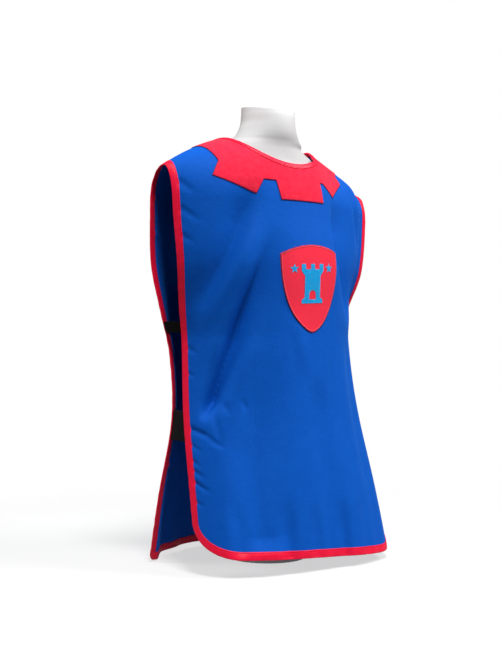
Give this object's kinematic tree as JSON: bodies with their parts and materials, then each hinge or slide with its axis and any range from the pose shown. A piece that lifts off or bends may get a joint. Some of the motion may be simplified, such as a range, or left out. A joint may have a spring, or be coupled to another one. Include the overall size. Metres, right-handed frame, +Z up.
{
  "type": "tabard on a limbless dress form",
  "caption": "Child's play knight tabard, sleeveless front and back with bound edges, battlemented collar and shield patch, worn by a limbless dress form.",
  "frame": {"origin": "centre of the underside of the dress form's base plate, on the surface that it stands on", "axes": "+Z up, -Y is the way that the front of the tabard faces, +X is the wearer's left"},
  "size_m": [0.3926, 0.2973, 0.7227],
  "materials": {
    "blue_cloth": "plain woven polyester, soft sheen",
    "red_tape": "smooth folded bias tape",
    "red_felt": "matt felt with a satin stitched edge",
    "emblem_felt": "satin embroidery",
    "black_elastic": "ribbed woven elastic",
    "form_shell": "smooth matt",
    "form_stand": "satin paint"
  },
  "bodies": {
    "root": {"front_panel": "blue_cloth", "back_panel": "blue_cloth", "front_binding": "red_tape", "back_binding": "red_tape", "neck_binding_front": "red_tape", "neck_binding_back": "red_tape", "collar_front": "red_felt", "collar_back": "red_felt", "shield_patch": "red_felt", "emblem_tower": "emblem_felt", "emblem_star_right": "emblem_felt", "emblem_star_left": "emblem_felt", "strap_right_upper": "black_elastic", "strap_left_upper": "black_elastic", "strap_right_lower": "black_elastic", "strap_left_lower": "black_elastic", "form_torso": "form_shell", "form_post": "form_stand", "form_base": "form_stand"}
  },
  "joints": []
}
